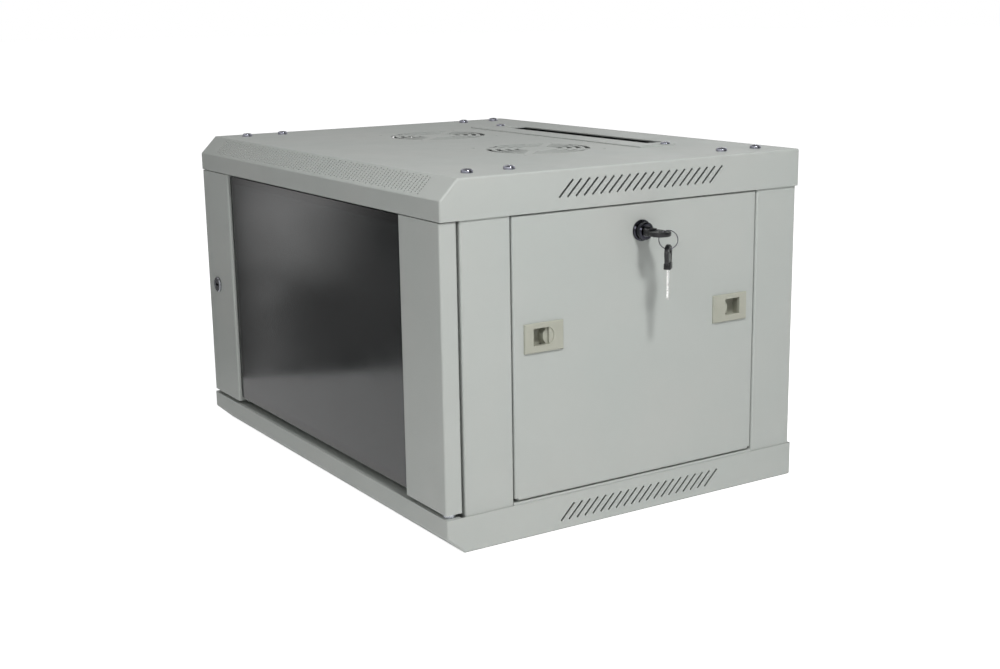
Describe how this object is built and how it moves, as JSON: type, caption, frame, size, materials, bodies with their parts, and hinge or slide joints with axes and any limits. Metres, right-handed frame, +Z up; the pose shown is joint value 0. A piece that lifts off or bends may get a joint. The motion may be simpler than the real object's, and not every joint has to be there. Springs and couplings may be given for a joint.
{
  "type": "wall mount network cabinet",
  "caption": "Shallow wall mount 19 inch network cabinet: vented steel covers, glazed lockable front door, latched side panels, top and bottom cable entries.",
  "frame": {"origin": "centre of the base's flat underside, midway between the sides and between the door face and the wall side", "axes": "+Z up, -Y out of the glazed door, +Y towards the wall, +X towards the side panel that carries the keys"},
  "size_m": [0.6539, 0.4526, 0.372],
  "materials": {
    "grey_powder_coat": "fine-textured light grey powder coat",
    "zinc_plated_steel": "zinc plated",
    "chrome": "polished chrome plate",
    "lock_cylinder": "dark machined zinc alloy",
    "ivory_plastic": "satin moulded ABS",
    "key_plastic": "moulded black bow on a nickel-plated blade",
    "ring_wire": "spring steel wire",
    "tinted_glass": "dark tinted tempered glass",
    "black_tape": "black foam bonding tape"
  },
  "bodies": {
    "cabinet": {"roof": "grey_powder_coat", "base": "grey_powder_coat", "rear_panel": "grey_powder_coat", "post_front_left": "grey_powder_coat", "post_rear_left": "grey_powder_coat", "side_rails_left": "grey_powder_coat", "corner_plates_left": "grey_powder_coat", "side_panel_left": "grey_powder_coat", "latch_housing_left_front": "ivory_plastic", "rack_rail_left_front": "zinc_plated_steel", "latch_housing_left_rear": "ivory_plastic", "rack_rail_left_rear": "zinc_plated_steel", "depth_support_left_lower": "zinc_plated_steel", "depth_support_left_upper": "zinc_plated_steel", "side_lock_body_left": "chrome", "side_lock_nut_left": "zinc_plated_steel", "post_front_right": "grey_powder_coat", "post_rear_right": "grey_powder_coat", "side_rails_right": "grey_powder_coat", "corner_plates_right": "grey_powder_coat", "side_panel_right": "grey_powder_coat", "latch_housing_right_front": "ivory_plastic", "rack_rail_right_front": "zinc_plated_steel", "latch_housing_right_rear": "ivory_plastic", "rack_rail_right_rear": "zinc_plated_steel", "depth_support_right_lower": "zinc_plated_steel", "depth_support_right_upper": "zinc_plated_steel", "side_lock_body_right": "chrome", "side_lock_nut_right": "zinc_plated_steel", "roof_entry_screws": "zinc_plated_steel", "base_entry_screws": "zinc_plated_steel", "roof_bolts": "zinc_plated_steel", "base_studs": "zinc_plated_steel", "base_nuts": "zinc_plated_steel", "rail_bolts": "zinc_plated_steel", "rear_screws": "zinc_plated_steel"},
    "door": {"door_frame": "grey_powder_coat", "door_glass": "tinted_glass", "glass_tape": "black_tape", "door_lock_body": "chrome", "door_lock_nut": "zinc_plated_steel", "hinge_pin_lower": "zinc_plated_steel"},
    "upper_pin": {"hinge_pin_upper": "zinc_plated_steel"},
    "door_barrel": {"door_lock_plug": "lock_cylinder", "door_lock_cam": "zinc_plated_steel"},
    "right_barrel": {"side_lock_plug_right": "lock_cylinder", "side_lock_cam_right": "zinc_plated_steel", "key": "key_plastic"},
    "left_barrel": {"side_lock_plug_left": "lock_cylinder", "side_lock_cam_left": "zinc_plated_steel"},
    "ring": {"key_ring": "ring_wire"},
    "hanging_key": {"spare_key": "key_plastic"},
    "slider_left_front": {"latch_slider_left_front": "ivory_plastic"},
    "slider_left_rear": {"latch_slider_left_rear": "ivory_plastic"},
    "slider_right_front": {"latch_slider_right_front": "ivory_plastic"},
    "slider_right_rear": {"latch_slider_right_rear": "ivory_plastic"},
    "roof_cover_plate": {"roof_entry_cover": "grey_powder_coat"},
    "base_cover_plate": {"base_entry_cover": "grey_powder_coat"}
  },
  "joints": [
    {"name": "door_swing", "type": "hinge", "parent": "cabinet", "child": "door", "pos_m": [0.289, -0.216, 0.18425], "axis": [0, 0, 1], "range_deg": [0, 180]},
    {"name": "upper_pin_retract", "type": "slide", "parent": "door", "child": "upper_pin", "axis": [0, 0, -1], "range_m": [0, 0.008], "stiffness_N_per_m": 400, "springref_m": -0.006},
    {"name": "door_lock_turn", "type": "hinge", "parent": "door", "child": "door_barrel", "pos_m": [-0.266, -0.215, 0.18425], "axis": [0, -1, 0], "range_deg": [0, 90]},
    {"name": "right_lock_turn", "type": "hinge", "parent": "cabinet", "child": "right_barrel", "pos_m": [0.2983, 0.011, 0.299], "axis": [1, 0, 0], "range_deg": [0, 90]},
    {"name": "left_lock_turn", "type": "hinge", "parent": "cabinet", "child": "left_barrel", "pos_m": [-0.2983, 0.011, 0.299], "axis": [1, 0, 0], "range_deg": [0, 90]},
    {"name": "ring_swing", "type": "hinge", "parent": "right_barrel", "child": "ring", "pos_m": [0.33592, 0.01568, 0.3029], "axis": [0.6691, 0.7431, 0], "range_deg": [-8, 8]},
    {"name": "spare_key_swing", "type": "hinge", "parent": "ring", "child": "hanging_key", "pos_m": [0.33592, 0.01568, 0.2839], "axis": [0.6691, 0.7431, 0], "range_deg": [-35, 35]},
    {"name": "latch_slide_left_front", "type": "slide", "parent": "cabinet", "child": "slider_left_front", "axis": [0, 1, 0], "range_m": [0, 0.008], "stiffness_N_per_m": 300, "springref_m": -0.006},
    {"name": "latch_slide_left_rear", "type": "slide", "parent": "cabinet", "child": "slider_left_rear", "axis": [0, -1, 0], "range_m": [0, 0.008], "stiffness_N_per_m": 300, "springref_m": -0.006},
    {"name": "latch_slide_right_front", "type": "slide", "parent": "cabinet", "child": "slider_right_front", "axis": [0, 1, 0], "range_m": [0, 0.008], "stiffness_N_per_m": 300, "springref_m": -0.006},
    {"name": "latch_slide_right_rear", "type": "slide", "parent": "cabinet", "child": "slider_right_rear", "axis": [0, -1, 0], "range_m": [0, 0.008], "stiffness_N_per_m": 300, "springref_m": -0.006},
    {"name": "roof_entry_slide", "type": "slide", "parent": "cabinet", "child": "roof_cover_plate", "axis": [0, 1, 0], "range_m": [0, 0.031]},
    {"name": "base_entry_slide", "type": "slide", "parent": "cabinet", "child": "base_cover_plate", "axis": [0, 1, 0], "range_m": [0, 0.031]}
  ]
}
